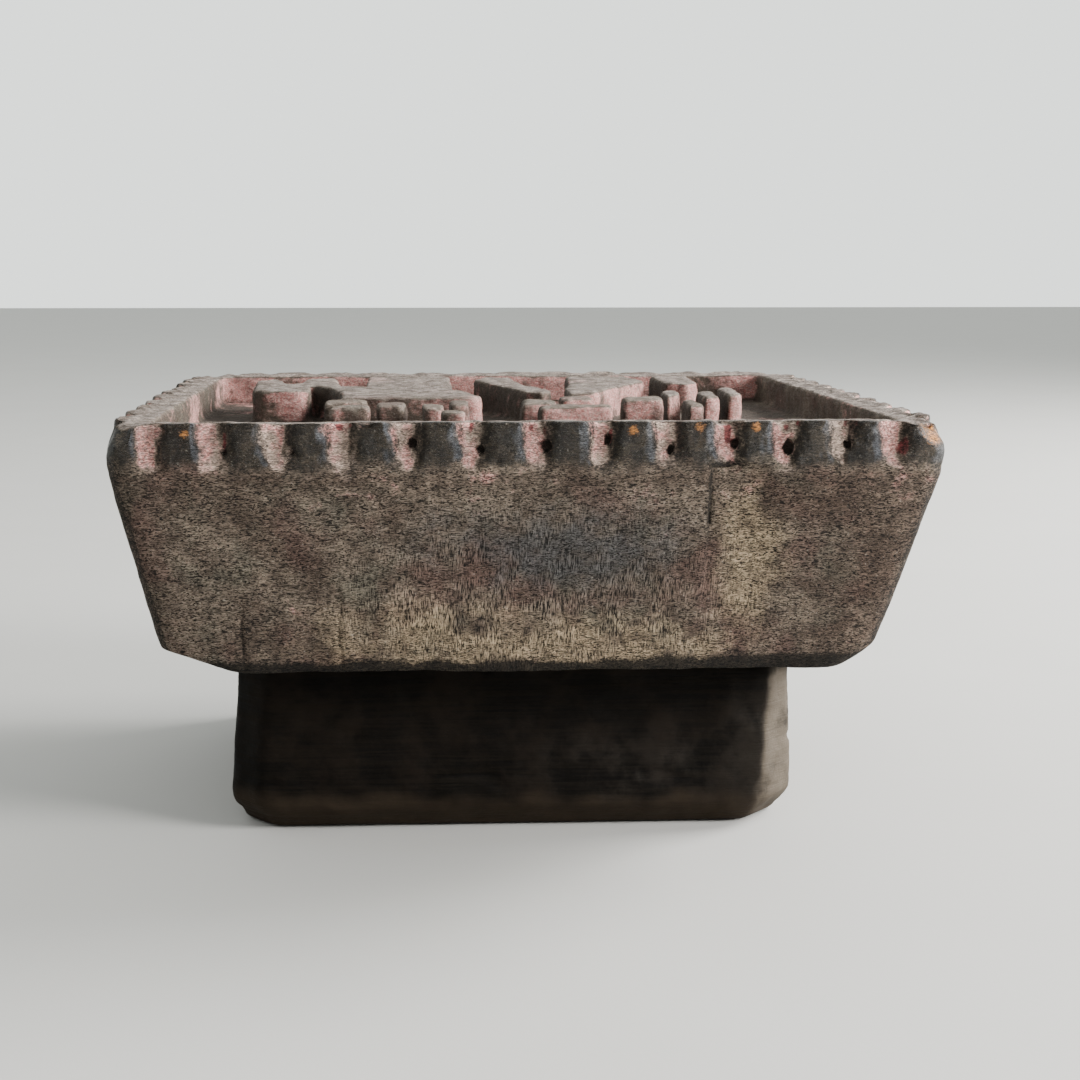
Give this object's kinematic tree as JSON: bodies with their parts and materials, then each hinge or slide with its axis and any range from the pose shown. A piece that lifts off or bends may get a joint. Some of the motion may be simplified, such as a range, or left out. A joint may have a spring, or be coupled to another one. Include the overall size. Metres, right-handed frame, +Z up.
{
  "type": "carved wooden headrest",
  "caption": "Low carved wooden headrest or stand: a tapered block with a fluted rim and a shallow carved relief on top, on a smaller chamfered foot block.",
  "frame": {"origin": "middle of the bounding box at the underside of the foot, which is the surface it stands on", "axes": "+X to the right along the wide front, +Y from the front to the back, +Z up"},
  "size_m": [0.16, 0.143, 0.088],
  "materials": {
    "carved_wood": "old unvarnished wood, grey-brown and sooty, with traces of pink-red pigment in the carving and dark lobes round the rim",
    "dark_wood": "very dark handled wood with a faint sheen and horizontal streaks",
    "peg_wood": "brown end grain, dry and dusty"
  },
  "bodies": {
    "root": {"upper_block": "carved_wood", "foot_block": "dark_wood", "peg_front_left": "peg_wood", "peg_front_right": "peg_wood", "peg_back_left": "peg_wood", "peg_back_right": "peg_wood"}
  },
  "joints": []
}
